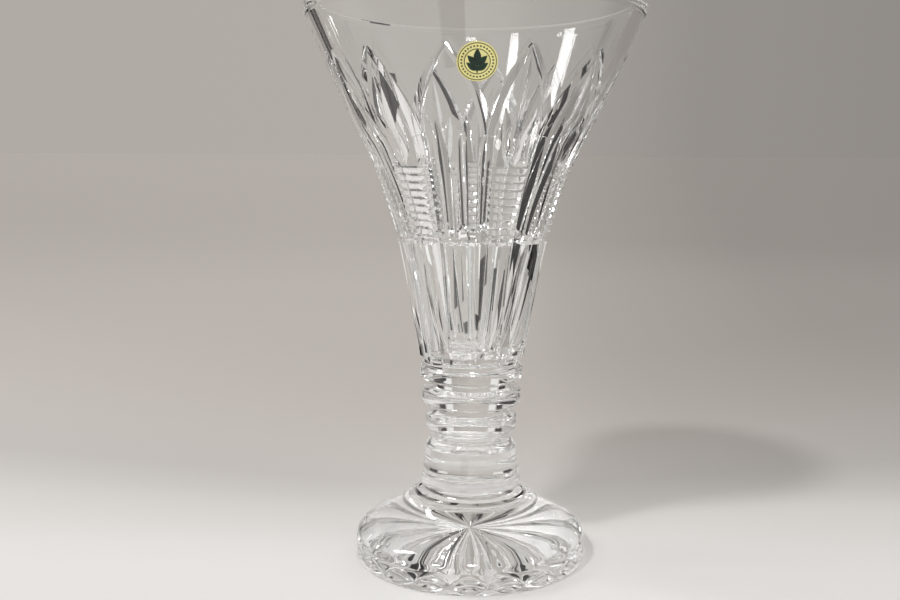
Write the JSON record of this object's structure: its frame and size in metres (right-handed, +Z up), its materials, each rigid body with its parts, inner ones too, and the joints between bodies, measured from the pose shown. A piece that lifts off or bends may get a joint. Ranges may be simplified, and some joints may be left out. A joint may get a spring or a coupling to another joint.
{
  "type": "flower vase",
  "caption": "Footed trumpet vase in clear cut crystal, with pointed-arch and ladder cuts, a ringed stem, a star-cut foot and a small foil label.",
  "frame": {"origin": "middle of the flat face the vase stands on", "axes": "+Z up along the vase's axis, -Y towards the label"},
  "size_m": [0.1538, 0.1538, 0.254],
  "materials": {
    "crystal": "polished clear crystal, sharp polished cuts",
    "gold_foil": "gold lacquered embossed foil, satin",
    "green_ink": "printed dark green ink"
  },
  "bodies": {
    "root": {"foot": "crystal", "collar": "crystal", "drum_knop": "crystal", "ringed_stem": "crystal", "bowl": "crystal", "label_foil": "gold_foil", "label_emblem": "green_ink"}
  },
  "joints": []
}
